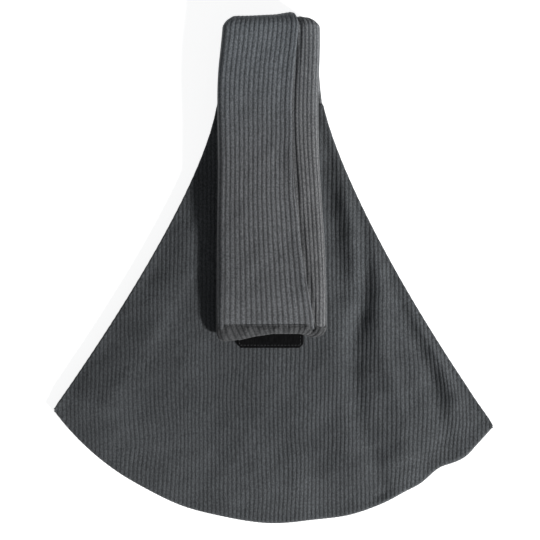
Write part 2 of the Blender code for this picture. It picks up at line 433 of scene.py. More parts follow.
PILE = make_pile_group()
WEAVE = make_weave_group()
PANEL_CLOTH = corduroy("panel_corduroy", (0.073, 0.078, 0.083), (0.041, 0.044, 0.046), 0.24)
# the last number of the strap and of the facing is the share of their painted highlight towards the top
STRAP_CLOTH = corduroy("strap_corduroy", (0.116, 0.120, 0.126), (0.053, 0.054, 0.056), 0.16, 0.28)
FACING_CLOTH = corduroy("facing_corduroy", (0.142, 0.144, 0.148), (0.052, 0.053, 0.055), 0.14, 0.16)
# painted shade: the end binding is the strap's corduroy made darker, for the shade at the strap's end
SHADED_BINDING_CLOTH = corduroy("binding_corduroy", (0.067, 0.068, 0.070), (0.030, 0.031, 0.032), 0.14)
LINING_CLOTH = plain_weave("lining_cotton", (0.046, 0.048, 0.052), 1300.0)
SEAM_CLOTH = plain_weave("seam_cotton", (0.040, 0.041, 0.045), 1100.0)
TAPE_CLOTH = plain_weave("tape_backing", (0.010, 0.010, 0.011), 900.0)
LOOP_PILE = loop_pile_material()
FOAM = foam_material()
THREAD_GREYS = (0.020, 0.021, 0.023), (0.062, 0.064, 0.068)
NYLON_GREYS = (0.006, 0.006, 0.007), (0.020, 0.020, 0.022)
THREAD = grained_material("sewing_thread", 2600, 2, (1, 2, 1), THREAD_GREYS, (0.45, 0.7), 0.00015, 0.7)
NYLON = grained_material("nylon_hooks", 700, 3, (1, 1, 1), NYLON_GREYS, (0.3, 0.5), 0.00005, 0.5)


# Outline of the panels


def rail_line(side, neck_x, pull):
    """One free edge from the neck to the seat corner, as x and y."""
    neck = Vector((neck_x, NECK_Y))
    corner = Vector((side * CORNER_X, seat_y(side * CORNER_X)))
    arrive = Vector((-side * 0.1195, 0.170))
    curve = interpolate_bezier(neck, neck + Vector(pull), corner + arrive, corner, 90)
    return np.array([(p.x, p.y) for p in curve])


def seat_y(x):
    """The seat seam: an arc whose lowest point lies a little right of the middle."""
    return SEAT_CENTRE.y - np.sqrt(SEAT_RADIUS**2 - (x - SEAT_CENTRE.x) ** 2)


LEFT_RAIL = rail_line(-1, NECK_LEFT, (-0.008, -0.062))
RIGHT_RAIL = rail_line(1, NECK_RIGHT, (0.012, -0.062))


def rail_y(x, neck_y):
    """Height of the panel's upper edge above each x."""
    left = np.interp(x, LEFT_RAIL[::-1, 0], LEFT_RAIL[::-1, 1])
    right = np.interp(x, RIGHT_RAIL[:, 0], RIGHT_RAIL[:, 1])
    return np.minimum(np.where(x < (NECK_LEFT + NECK_RIGHT) / 2, left, right), neck_y)


def settle(points):
    """Where the seat seam strays from its arc: it is drawn in at the lower right."""
    x, y = points[..., 0], points[..., 1]
    seam = np.maximum(SEAT_RADIUS - np.hypot(x - SEAT_CENTRE.x, y - SEAT_CENTRE.y), 0)
    drawn = 0.0066 * hill(x, 0.187, 0.016) + 0.0022 * hill(x, 0.150, 0.016)
    drawn = drawn - 0.0022 * hill(x, 0.219, 0.010)
    drawn = drawn + 0.0008 * ripple(x, 0 * x, 0.07, 17)
    moved = points.copy()
    moved[..., 1] = y + drawn * (1 - smooth(seam, 0, 0.060))
    return moved


def edge_distances(x, y):
    """Distance to the nearer rail, and to the seat seam."""
    left = nearest(x, y, LEFT_RAIL)[0]
    right = nearest(x, y, RIGHT_RAIL)[0]
    seam = SEAT_RADIUS - np.hypot(x - SEAT_CENTRE.x, y - SEAT_CENTRE.y)
    return np.minimum(left, right), np.maximum(seam, 0)


# Folds of the front panel: the line of each, its height and its half width

FOLDS = (
    ([(0.050, 0.166), (0.057, 0.122), (0.065, 0.055), (0.076, -0.022)], -0.0076, 0.0150),
    ([(0.080, 0.112), (0.087, 0.060), (0.096, -0.030)], 0.0036, 0.0100),
    (
        [(0.095, 0.070), (0.102, 0.034), (0.106, -0.030), (0.090, -0.068), (0.092, -0.120),
         (0.096, -0.175)], -0.0052, 0.0110,
    ),
    ([(0.114, 0.030), (0.121, -0.040), (0.118, -0.085), (0.134, -0.125), (0.146, -0.170)], 0.0040, 0.0120),
    (
        [(0.132, -0.012), (0.142, -0.038), (0.156, -0.078), (0.179, -0.114), (0.187, -0.158),
         (0.195, -0.195)], -0.0054, 0.0108,
    ),
    ([(0.152, -0.030), (0.167, -0.062), (0.190, -0.102), (0.206, -0.150)], 0.0044, 0.0100),
    ([(0.108, -0.195), (0.114, -0.215), (0.122, -0.255)], -0.0046, 0.0125),
    ([(0.144, -0.190), (0.154, -0.225)], 0.0030, 0.0130),
    ([(0.026, -0.195), (0.030, -0.262)], 0.0020, 0.0150),
    ([(0.080, -0.160), (0.086, -0.215)], 0.0022, 0.0130),
    ([(-0.205, -0.135), (-0.150, -0.178), (-0.090, -0.205)], 0.0022, 0.0180),
    ([(-0.085, 0.060), (-0.110, 0.000), (-0.140, -0.070)], 0.0022, 0.0200),
)


def fold_height(x, y):
    total = np.zeros(x.shape)
    for points, height, width in FOLDS:
        distance, along = nearest(x, y, soft_line(points))
        ends = np.sin(math.pi * np.clip(along, 0.06, 0.94)) ** 0.5
        total += height * hill(distance, 0, width) * ends
    return total


RAIL_Z = 0.0096  # where the front panel's rails lie, on the back panel
SEAM_TOP_Z = 0.0078
SEAM_Z = 0.0042  # where the front and back meet along the seat


def front_height(x, y):
    """Height of the front panel's outer face."""
    rail, seam = edge_distances(x, y)
    flat = FRONT_HIGH.z - 0.0002
    reach = 0.050 - 0.028 * smooth(x, 0.02, 0.06)
    near_rail = RAIL_Z + (flat - RAIL_Z) * smooth(rail / reach, 0, 1)
    near_seam = SEAM_TOP_Z + (flat - SEAM_TOP_Z) * smooth(seam, 0, 0.060)
    under_tape = 1 - smooth(np.abs(x - LOOP_LOW.x * 0.5 - LOOP_HIGH.x * 0.5), 0.038, 0.056)
    under_tape = under_tape * smooth(y, LOOP_LOW.y - 0.020, LOOP_LOW.y)
    loose = smooth(np.minimum(rail, seam), 0.0, 0.013) * (1 - under_tape)
    waves = fold_height(x, y) + 0.0006 * ripple(x, y, 0.085, 3) + 0.00025 * ripple(x, y, 0.030, 5)
    return np.minimum(near_rail, near_seam) + waves * loose


def back_height(x, y):
    """Height of the back panel's inner face, which is nearly flat."""
    rail, seam = edge_distances(x, y)
    base = 0.0026 + 0.0008 * (1 - smooth(seam, 0, 0.030)) + 0.0006 * (1 - smooth(rail, 0, 0.02))
    return base + 0.0002 * ripple(x, y, 0.06, 11)


# Panels

PANEL_ROWS = 86
LINING_ROWS = 70
LINING_STEP = 0.0045  # between the lining's columns


def column_grid(pitch, rows, neck_y, inset, seam_inset):
    """Columns along the wales, each from the seat seam to the rail above it.
    Returns x and y, rows by columns, and each column's outward direction at both ends."""
    reach = CORNER_X - inset
    count = int(2 * reach / pitch)
    x = (np.arange(count + 1) - count / 2) * pitch
    low = seat_y(x)
    shift = np.sign(x) * inset
    beside = smooth(np.abs(x + 0.004), 0.034, 0.052)
    neck = neck_y + (NECK_Y - 0.002 - neck_y) * beside * (neck_y < NECK_Y - 0.005)
    high = np.minimum(rail_y(x + shift, NECK_Y), neck - inset)
    short = smooth(high - low, 0, 0.016)
    steep = (SEAT_CENTRE.y - low) / SEAT_RADIUS
    low = low + seam_inset * (0.30 + 0.70 * short) / steep
    high = np.maximum(high, low + 0.0006)
    t = np.linspace(0, 1, rows)
    t = 0.6 * t + 0.4 * (0.5 - 0.5 * np.cos(math.pi * t))
    y = low + t[:, None] * (high - low)
    slope = np.gradient(high, x)
    up = np.stack([-slope, np.ones_like(slope)], 1)
    up /= np.linalg.norm(up, axis=1)[:, None]
    down = np.stack([x - SEAT_CENTRE.x, low - SEAT_CENTRE.y], 1)
    down /= np.linalg.norm(down, axis=1)[:, None]
    return np.broadcast_to(x, y.shape).copy(), y, up, down, short


def wander(x, y):
    """How far the wales stray sideways: a slow sway, and a lean down the right side."""
    rail, seam = edge_distances(x, y)
    inside = smooth(np.minimum(rail, seam), 0.002, 0.040)
    sway = 0.0012 * ripple(x, y, 0.14, 21) + 0.0004 * ripple(x, y, 0.045, 22)
    left_low = 0.004 * hill(x, -0.150, 0.05) * hill(y, -0.190, 0.035)
    right = 0.006 * hill(x, 0.185, 0.045) * hill(y, -0.110, 0.07)
    return (sway + left_low + right) * inside


def curl(base, outward, up, radius, angles):
    """Extra rows that carry an edge round: base is the last row, outward its level direction."""
    rows = []
    for angle in angles:
        a = math.radians(angle)
        offset = np.zeros_like(base)
        offset[:, :2] = outward * (radius * math.sin(a))[:, None]
        offset[:, 2] = -up * radius * (1 - math.cos(a))
        rows.append(base + offset)
    return rows


RAIL_CURL = CLOTH + 0.0002
TURNED_HEM = 0.007
LINING_INSET = RAIL_CURL + TURNED_HEM + 0.0008  # the linings meet the turned hems and the seam


def corduroy_panel(name, height, neck_y, up, seam_curl, seam_inset):
    """A shell panel: wales on its outer face, rails turned round the lining, and the seat edge
    rolled to the seam. Up is 1 for the front, whose outer face looks up, and -1 for the back."""
    pitch = PANEL_WALE / COLUMNS_PER_WALE
    inset = seam_curl + seam_inset
    x, y, rail_out, seam_out, short = column_grid(pitch, PANEL_ROWS, neck_y, RAIL_CURL, inset)
    phase = x / PANEL_WALE
    bent_x = x + wander(x, y)
    z = height(bent_x, y)
    points = np.stack([bent_x, y, z], 2)
    length = y[-1] - y[0]
    above = curl(points[-1], rail_out, up, RAIL_CURL * (0.40 + 0.60 * short), (36, 72, 108, 144, 180))
    hem = above[-1].copy()
    hem[:, :2] -= rail_out * np.minimum(TURNED_HEM, 0.6 * length)[:, None]
    above.append(hem)
    below = curl(points[0], seam_out, up, seam_curl * (0.30 + 0.70 * short), (30, 60, 90))[::-1]
    points = settle(np.stack([*below, *points, *above]))
    phase = np.broadcast_to(phase[0], points.shape[:2])
    points = raise_wales(points, phase, PANEL_RELIEF, 0.02, 31, up)
    uv = np.stack([phase, points[..., 1]], 2)
    obj = grid_object(name, points, uv, PANEL_CLOTH, flip=up < 0)
    thicken(obj, CLOTH)
    return obj


def lining_panel(name, height, neck_y, up, drop):
    """A plain lining inside a shell, a little smaller, so that the rails close over it."""
    x, y, _, _, _ = column_grid(LINING_STEP, LINING_ROWS, neck_y, LINING_INSET, LINING_INSET)
    z = height(x, y) - up * drop + 0.00015 * ripple(x, y, 0.02, 41)
    uv = np.stack([x, y], 2)
    obj = grid_object(name, settle(np.stack([x, y, z], 2)), uv, LINING_CLOTH, flip=up < 0)
    thicken(obj, LINING)
    return obj


def pouch_fold(obj):
    """Only bakes the piece's placement into its points."""
    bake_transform(obj)


def make_front():
    shell = corduroy_panel("front_cloth", front_height, FRONT_NECK_Y, 1, SEAM_TOP_Z - SEAM_Z, 0.0)
    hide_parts("front_shell", "front_shell_seat")
    pouch_fold(shell)
    drop = CLOTH + 0.0006
    lining = lining_panel("front_inside", front_height, FRONT_NECK_Y, 1, drop)
    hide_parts("front_lining", "front_lining_seat")
    pouch_fold(lining)


def back_outer_height(x, y):
    """Height of the back panel's outer face, which lies on the floor."""
    rail, seam = edge_distances(x, y)
    lift = 0.0008 * (1 - smooth(seam, 0, 0.012)) + 0.0004 * (1 - smooth(rail, 0, 0.010))
    return 0.0001 + lift


def make_back():
    shell = corduroy_panel("back_cloth", back_outer_height, NECK_Y, -1, 0.0026, 0.0007)
    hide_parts("back_shell")
    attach(shell, "seat")
    lining = lining_panel("back_inside", back_height, NECK_Y, 1, 0.0)
    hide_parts("back_lining")
    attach(lining, "seat")


# Strap

FOLD_GAP = FLAP_Z - STRAP_THICKNESS
ROLL_CENTRE_Z = TOP_Z / 2
ROLL_LENGTH = math.pi * (STRAP_THICKNESS + FOLD_GAP) / 2
FLAP_LENGTH = ROLL_Y - BINDING_Y
BACK_RUN = ROLL_Y - NECK_Y + 0.008
SIDE_ROUND = 0.0088
HEM_ROUND = STRAP_CLOTH_THICKNESS + 0.0002
HEM_DEPTH = 0.007
LIP = 0.006
STRIP_DROP = 0.0040  # how far the facing strip lies below the cover
STRIP_WIDTH = 0.030
COVER_COLUMNS = 84
END_SCALE = 0.80
END_TAPER = 0.045
NECK_SCALE = 0.27
NECK_TAPER = 0.048
FOLD_NARROWING = 0.17
FOLD_SINK = 0.0034  # the fold's corners are softer than its middle by this
STRAP_X = -0.004  # the strap's middle
NECK_LIFT = 0.0040  # the run beneath rises to the pouch's neck
BED_GAP = 0.0003
END_DIP = 0.0030  # the seam of the end binding pulls the cloth in
END_DIP_WIDTH = 0.0042
OVER_END = 0.003  # the cover and facing run on under the end binding

# Distance along the strap from the fold, and the place across it there
LEFT_EDGE = (
    (-0.118, -0.0628), (-0.060, -0.0600), (-0.020, -0.0560), (0.014, -0.0580), (0.036, -0.0612),
    (0.0565, -0.0628), (0.081, -0.0632), (0.154, -0.0622), (0.240, -0.0636), (0.336, -0.0643),
    (0.352, -0.0628),
)
RIGHT_EDGE = (
    (-0.118, 0.0560), (-0.110, 0.0553), (-0.082, 0.0512), (-0.030, 0.0512), (0.014, 0.0525),
    (0.036, 0.0518), (0.0565, 0.0508), (0.081, 0.0500), (0.115, 0.0503), (0.154, 0.0514),
    (0.249, 0.0580), (0.3045, 0.0594), (0.352, 0.0594),
)
LAP_LINE = (
    (-0.110, 0.0290), (-0.015, 0.0300), (0.000, 0.0285), (0.018, 0.0262), (0.054, 0.0218),
    (0.090, 0.0200), (0.127, 0.0204), (0.156, 0.0218), (0.193, 0.0245), (0.217, 0.0288),
    (0.249, 0.0316), (0.277, 0.0353), (0.304, 0.0406), (0.322, 0.0436), (0.352, 0.0475),
)
# Distance along the strap, and how many wales its cover has there
WALES_ACROSS = ((-0.11, 14.4), (0.10, 14.4), (0.24, 15.6), (0.352, 16.6))


def along_strap(table, s):
    """A measure that changes along the strap, with its corners smoothed."""
    at, value = zip(*table)
    steps = np.linspace(-0.020, 0.020, 9)
    return np.mean([np.interp(s + step, at, value) for step in steps], 0)


def strap_lines(s):
    """Where the strap's left edge, its right edge and its lap are across it."""
    return [along_strap(line, s) for line in (LEFT_EDGE, RIGHT_EDGE, LAP_LINE)]


def half_round(edge, reach, low, high, steps):
    """The round of one side, from its top down to its underside, as places across and heights."""
    turns = [math.pi * k / steps for k in range(1, steps)]
    return [(edge + reach * math.sin(t), low + (high - low) * (1 + math.cos(t)) / 2) for t in turns]


def place_on_strap(x, h, s):
    """From a place across, a height above the padded strap's underside and a distance along it,
    which is 0 at the end of the fold and counts down the flap, to a point of the sling."""
    angle = np.clip(-s / ROLL_LENGTH, 0, 1) * math.pi  # 0 on the flap, and pi on the run beneath
    stands = hill(x, 0.021, 0.014) + 0.35 * hill(x, -0.004, 0.02)
    sunk = FOLD_SINK * (1 - stands) * np.sin(angle) ** 2 * h / STRAP_THICKNESS
    radius = FOLD_GAP / 2 + h - sunk
    y = ROLL_Y + radius * np.sin(angle)
    z = ROLL_CENTRE_Z + radius * np.cos(angle)
    y = y - np.maximum(s, 0) + np.minimum(s + ROLL_LENGTH, 0)
    end_share = 1 - (1 - END_SCALE) * smooth(s, FLAP_LENGTH - END_TAPER, FLAP_LENGTH)
    z = np.where(s > 0, FLAP_Z + h * end_share, z)
    back = -(s + ROLL_LENGTH)
    neck = ROLL_Y - NECK_Y
    share = 1 - (1 - NECK_SCALE) * smooth(back, neck - NECK_TAPER, neck)
    lift = NECK_LIFT * smooth(back, neck - 0.014, neck + 0.002)
    z = np.where(back > 0, (STRAP_THICKNESS - h) * share + lift + BED_GAP, z)
    narrow = 1 - FOLD_NARROWING * np.sin(angle) ** 2
    return np.stack([STRAP_X + (x - STRAP_X) * narrow, y, z], -1)


def crown(x, s, left, right):
    """Fullness of the padding under the cover, highest near the middle."""
    across = np.clip((x - left) / (right - left), 0, 1)
    full = 0.0013 * np.sin(math.pi * across) ** 0.7
    soft = 0.00045 * ripple(x, s, 0.070, 51) + 0.00022 * ripple(x, s, 0.026, 52)
    seam = END_DIP * hill(s, FLAP_LENGTH + 0.0010, END_DIP_WIDTH)
    bedded = smooth(s, -ROLL_LENGTH * 0.45, ROLL_LENGTH * 0.2)  # flat where it lies on the floor
    return (full + soft) * bedded - seam


def gather(columns, s):
    """The measures of a cross-section's columns, each as one array of rows by columns."""
    return [np.stack([column[k] + 0 * s for column in columns], 1) for k in range(len(columns[0]))]


def cover_grid(s):
    """The cover across the strap: turned hem, top, left round and lip. Returns x, h and phase."""
    left, right, lap = strap_lines(s)
    lap = lap + 0.0004 * ripple(s, 0 * s, 0.05, 53)
    start = left + SIDE_ROUND
    columns = []
    level = STRAP_THICKNESS
    wales = along_strap(WALES_ACROSS, s)

    def add(*measures):
        columns.append(measures)

    for k in range(4, -1, -1):  # lip
        add(start + LIP * k / 4, 0 * s, -(math.pi * SIDE_ROUND) - LIP * k / 4)
    for k in range(24, 0, -1):  # left round
        angle = math.pi * k / 25
        around = level / 2 * (1 + np.cos(angle))
        add(start - SIDE_ROUND * np.sin(angle) ** 0.9, around + 0 * s, -SIDE_ROUND * angle)
    end = lap - HEM_ROUND
    reach = wales * STRAP_WALE
    for k in range(COVER_COLUMNS + 1):
        share = k / COVER_COLUMNS
        x = start + (end - start) * share
        ridge = 0.0010 * hill(x, lap - 0.004, 0.005)  # over the turned hem
        add(x, level + crown(x, s, left, right) + ridge, reach * share)
    top = columns[-1][1]
    for k in range(1, 7):  # folded edge
        angle = math.pi * k / 6
        x = end + HEM_ROUND * np.sin(angle)
        add(x, top - HEM_ROUND * (1 - np.cos(angle)), reach + HEM_ROUND * angle)
    for k in range(1, 5):  # hem turned under
        back = HEM_DEPTH * k / 4
        x = end - back
        add(x, top - 2 * HEM_ROUND - 0.0001 * k, reach + HEM_ROUND * math.pi + back)
    x, h, distance = gather(columns, s)
    return x, h, distance / STRAP_WALE


def facing_grid(s):
    """The facing across the strap: strip beside the lap, right round and underside."""
    left, right, lap = strap_lines(s)
    step = FACING_WALE / 4
    columns = []
    strip = STRAP_THICKNESS - STRIP_DROP
    start = right - SIDE_ROUND
    for k in range(int(STRIP_WIDTH / step), -1, -1):
        x = start - step * k
        open_part = smooth(x - lap, 0.0006, 0.0070)
        pad = 0.0020 * open_part + 0.0004 * open_part * ripple(x, s, 0.05, 54)
        seam = 0.8 * END_DIP * hill(s, FLAP_LENGTH + 0.0010, END_DIP_WIDTH)
        columns.append((x, strip + pad - seam, step * k))
    top = columns[-1][1]
    for k in range(1, 24):
        angle = math.pi * k / 24
        x = start + SIDE_ROUND * np.sin(angle) ** 0.9
        columns.append((x, top / 2 * (1 + np.cos(angle)), -SIDE_ROUND * angle))
    inner = left + SIDE_ROUND
    count = 92
    for k in range(count + 1):
        x = start + (inner - start) * k / count
        tucked = 0.0016 * (1 - smooth(x - inner, LIP + 0.001, LIP + 0.005))
        distance = -(math.pi * SIDE_ROUND + (start - x))
        columns.append((x, tucked + 0 * s, distance))
    x, h, distance = gather(columns, s)
    return x, h, distance / FACING_WALE


def strap_cloth(name, s, node, size, section, relief, seed, material, slot):
    """The cover or the facing along a run of the strap, as one sheet of wales."""
    x, h, phase = section(s)
    s = np.broadcast_to(s[:, None], x.shape)
    bend = 0.0005 * ripple(x, s, 0.11, seed) * smooth(h, STRAP_THICKNESS * 0.7, STRAP_THICKNESS * 0.85)
    points = place_on_strap(x + bend, h, s)
    points = raise_wales(points, phase, relief, 0.02, seed, -1)
    uv = np.stack([phase, s], 2)
    obj = grid_object(name, points, uv, material, flip=True)
    thicken(obj, STRAP_CLOTH_THICKNESS)
    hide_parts(node)
    return obj


def flap_bend(obj):
    """Only bakes the piece's placement into its points."""
    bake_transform(obj)


FLAP_ROWS = np.linspace(0, FLAP_LENGTH + OVER_END, 142)
BACK_ROWS = np.concatenate(
    [np.linspace(-ROLL_LENGTH - BACK_RUN, -ROLL_LENGTH, 34)[:-1], np.linspace(-ROLL_LENGTH, 0, 26)]
)


def make_strap():
    flap_length = FLAP_LENGTH + OVER_END
    back_length = BACK_RUN + 0.8 * math.pi * STRAP_THICKNESS
    for name, widths, *cloth in (
        ("strap_cover", (0.150, 0.136), cover_grid, STRAP_RELIEF, 61, STRAP_CLOTH, "strap_corduroy"),
        ("strap_facing", (0.152, 0.146), facing_grid, FACING_RELIEF, 71, FACING_CLOTH, "facing_corduroy"),
    ):
        front = strap_cloth(name + "_flap", FLAP_ROWS, name + "_front", (widths[0], flap_length), *cloth)
        flap_bend(front)
        rear = strap_cloth(name + "_fold", BACK_ROWS, name + "_back", (widths[1], back_length), *cloth)
        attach(rear, "seat")


def foam_ring(s):
    """The pad's outline across the strap."""
    left, right, lap = strap_lines(s)
    left, right = left + 0.0026, right - 0.0026
    low, high = 0.0022, STRAP_THICKNESS - 0.0022
    side = 0.0060
    points = []
    for k in range(41):
        x = left + side + (right - left - 2 * side) * k / 40
        under_strip = 1 - smooth(lap - x, 0.009, 0.016)
        bulge = 0.0008 * math.sin(math.pi * k / 40) ** 0.6
        points.append((x, high + bulge - under_strip * (STRIP_DROP + 0.0008 + bulge)))
    points += half_round(right - side, side, low, points[-1][1], 8)
    for k in range(41):
        x = right - side - (right - left - 2 * side) * k / 40
        points.append((x, low + 0 * s))
    points += half_round(left + side, -side, low, points[0][1], 8)[::-1]
    return gather(points, s)


def make_foam():
    for name, rows, node, bends in (
        ("strap_pad_flap", FLAP_ROWS[:-1:2], "strap_foam_front", True),
        ("strap_pad_fold", BACK_ROWS[3:], "strap_foam_back", False),
    ):
        x, h = foam_ring(rows)
        s = np.broadcast_to(rows[:, None], x.shape)
        points = place_on_strap(x, h, s)
        points = np.concatenate([points, points[:, :1]], 1)
        obj = tube_object(name, points, FOAM)
        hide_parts(node)
        if bends:
            flap_bend(obj)
        else:
            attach(obj, "seat")


def tube_object(name, points, material):
    """A closed tube from rings of points, the last point of each ring being its first again."""
    rows, columns = points.shape[0], points.shape[1] - 1
    index = np.arange(rows * columns).reshape(rows, columns)
    over = np.roll(index, -1, axis=1)
    sides = np.stack([index[:-1], over[:-1], over[1:], index[1:]], -1).reshape(-1, 4)
    faces = sides.tolist() + [index[0][::-1].tolist(), index[-1].tolist()]
    obj = add_mesh(name, points[:, :-1].reshape(-1, 3).tolist(), faces, material)
    face_outwards(obj)
    return obj


def face_outwards(obj):
    select_only(obj)
    bpy.ops.object.mode_set(mode="EDIT")
    bpy.ops.mesh.select_all(action="SELECT")
    bpy.ops.mesh.normals_make_consistent(inside=False)
    bpy.ops.object.mode_set(mode="OBJECT")


# End binding

BINDING_LAP = 0.0022  # how far it reaches over the strap's cover
BINDING_EASE = 0.0006  # how much wider it is than the strap, on each side
# The binding's lower edge in plan
END_OUTLINE = (
    (-0.0643, -0.0790), (-0.0560, -0.0812), (-0.0420, -0.0790), (-0.0263, -0.0756), (-0.0039, -0.0728),
    (0.0300, -0.0728), (0.0340, -0.0742), (0.0408, -0.0768), (0.0470, -0.0766), (0.0597, -0.0720),
)


def make_end_binding():
    """A sock of corduroy over the strap's end: its wales run on the bias, and it closes in a soft
    uneven edge that is longer at the left."""
    start_y = BINDING_Y + BINDING_LAP
    left, right, lap = strap_lines(ROLL_Y - start_y)
    left, right = left - BINDING_EASE, right + BINDING_EASE
    wales = along_strap(WALES_ACROSS, ROLL_Y - start_y)
    height = STRAP_THICKNESS * END_SCALE
    step = STRAP_WALE / 5
    side = height / 2 + 0.0004
    flat = right - left - 2 * side
    top_count = int(flat / step)
    ring = []
    for k in range(top_count + 1):
        x = left + side + flat * k / top_count
        drop = (STRIP_DROP - 0.0006) * smooth(x - lap, -0.002, 0.002)
        ring.append((x, height + 0.0010 * math.sin(math.pi * k / top_count) - drop))
    ring += half_round(right - side, side, 0, ring[-1][1], 20)
    for k in range(top_count + 1):
        ring.append((right - side - flat * k / top_count, -0.0003))
    ring += half_round(left + side, -side, 0, height, 20)[::-1]
    ring.append(ring[0])
    ring = np.array(ring)
    ring_x, ring_h = ring[:, 0], ring[:, 1]
    at, outline = zip(*END_OUTLINE)
    target = ring_x + 0.006 * (1 - smooth(ring_x - left, 0, 0.030))
    target = target - 0.014 * smooth(ring_x, right - 0.045, right)
    target_y = np.interp(target, at, outline)
    middle = height * 0.46
    rows = []
    for angle in np.linspace(0, 88, 18):
        a = math.radians(angle)
        y = start_y + (target_y - start_y) * math.sin(a)
        x = ring_x + (target - ring_x) * (1 - math.cos(a)) ** 1.1
        slant = 0.45 * smooth(-(ring_x - 0.012), 0, 0.030) * smooth(ring_x - left, 0, 0.020)
        x = x + slant * (start_y - y) * np.where(ring_h > middle, 1, 0.3)
        h = middle + (ring_h - middle) * math.cos(a) ** 0.55
        pinch = 0.0007 * hill(y, BINDING_Y + 0.0006, 0.0016) + 0.0002
        dent = 0.0065 * hill(x, 0.0435, 0.0026) * hill(y, -0.0662, 0.0030)  # where the lap tucks in
        puff = 0.0007 * ripple(x, y, 0.016, 81) * smooth(start_y - y, 0, 0.006)
        above = np.clip((ring_h - middle) / (height - middle), 0, 1)
        h = h + (puff - pinch - dent) * above * math.cos(a) ** 0.5
        rows.append(np.stack([x, y + 0 * x, FLAP_Z + h], 1))
    points = np.stack(rows)
    distance = np.concatenate([[0], np.cumsum(np.hypot(np.diff(ring_x), np.diff(ring_h)))])
    pitch = (lap - HEM_ROUND - left - BINDING_EASE - SIDE_ROUND) / wales
    phase = (distance + ring_x[0] - left - BINDING_EASE - SIDE_ROUND) / pitch
    phase = np.broadcast_to(phase, points.shape[:2])
    fade = np.linspace(1, 0.35, len(points))[:, None]
    raised = raise_wales(points, phase, 1.0, 0.02, 82, -1)
    points = points + (raised - points) * (STRAP_RELIEF * 0.9 * fade)[..., None]
    points[:, -1] = points[:, 0]
    uv = np.stack([phase, points[..., 1]], 2)
    # its material carries painted shade, darker than the strap's corduroy
    obj = grid_object("end_binding", points, uv, SHADED_BINDING_CLOTH)
    close_end(obj, points[-1])
    thicken(obj, STRAP_CLOTH_THICKNESS * 0.8)
    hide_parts("strap_end_binding")
    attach(obj, "strap_front")
    across = np.linspace(left + 0.005, right - 0.007, 70)
    y = BINDING_Y - 0.0004
    stitched = [(x, y, surface_z(obj, x, y)) for x in across]
    stitch_line("end_thread", stitched, "strap_front")


def surface_z(obj, x, y):
    """Height of a piece's upper face at a place in plan."""
    hit, point, _, _ = obj.ray_cast(Vector((x, y, 0.2)), Vector((0, 0, -1)))
    return point.z if hit else FLAP_Z + STRAP_THICKNESS


def close_end(obj, last):
    """Merge the ring's two ends, and close the last ring with a fan of faces."""
    select_only(obj)
    bpy.ops.object.mode_set(mode="EDIT")
    bpy.ops.mesh.select_all(action="SELECT")
    bpy.ops.mesh.remove_doubles(threshold=SAME_PLACE)
    bpy.ops.mesh.select_all(action="DESELECT")
    bpy.ops.object.mode_set(mode="OBJECT")
    for vertex in obj.data.vertices:
        if np.min(np.abs(last - np.array(vertex.co)).sum(1)) < SAME_PLACE:
            vertex.select = True
    bpy.ops.object.mode_set(mode="EDIT")
    bpy.ops.mesh.edge_face_add()
    bpy.ops.mesh.quads_convert_to_tris()
    bpy.ops.object.mode_set(mode="OBJECT")
    face_outwards(obj)


# Seam binding, tapes and stitches

SEAM_TAPE_INSET = 0.0082  # from the seat's edge to the tape's middle
SEAM_TAPE_HALF = 0.0040
SEAM_TAPE_Z = 0.0046
SEAM_THREAD_INSET = 0.0112
SEAM_THREAD_Z = 0.0058
STITCH_LENGTH = 0.0026
STITCH_GAP = 0.0012
THREAD_RADIUS = 0.00026
TAPE_THICKNESS = 0.0010
LOOP_STITCH_INSET = 0.0032
HOOK_STITCH_INSET = 0.0030


def seat_arc(turn, radius, z):
    """Points at a distance from the centre of the seat's arc, over a range of directions."""
    x = SEAT_CENTRE.x + radius * np.cos(turn)
    y = SEAT_CENTRE.y + radius * np.sin(turn)
    return np.stack([x, y, z + 0 * turn], 1)


def make_seam_binding():
    """Cotton folded over the raw edges of the seat seam, inside the pouch, with small puckers."""
    first, last = (
        math.atan2(rail[-1, 1] - SEAT_CENTRE.y, rail[-1, 0] - SEAT_CENTRE.x)
        for rail in (LEFT_RAIL, RIGHT_RAIL)
    )
    turn = np.linspace(first + 0.045, last - 0.045, 240)
    pucker = 1 + 0.10 * np.sin(turn * SEAT_RADIUS / 0.0016)
    sway = 0.0004 * ripple(turn * SEAT_RADIUS, 0 * turn, 0.03, 91)
    rings = []
    for k in range(15):
        angle = 2 * math.pi * k / 14
        across = SEAM_TAPE_HALF * np.sign(math.cos(angle)) * abs(math.cos(angle)) ** 0.6
        up = 0.00125 * np.sign(math.sin(angle)) * abs(math.sin(angle)) ** 0.8
        rings.append(seat_arc(turn, SEAT_RADIUS - SEAM_TAPE_INSET + across + sway, SEAM_TAPE_Z + up * pucker))
    points = settle(np.stack(rings, 1))
    points[:, -1] = points[:, 0]
    obj = tube_object("seam_tape", points, SEAM_CLOTH)
    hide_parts("seat_seam_binding")
    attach(obj, "seat")
    stitched = settle(seat_arc(turn, SEAT_RADIUS - SEAM_THREAD_INSET, SEAM_THREAD_Z))
    stitch_line("seam_thread", stitched, "seat")


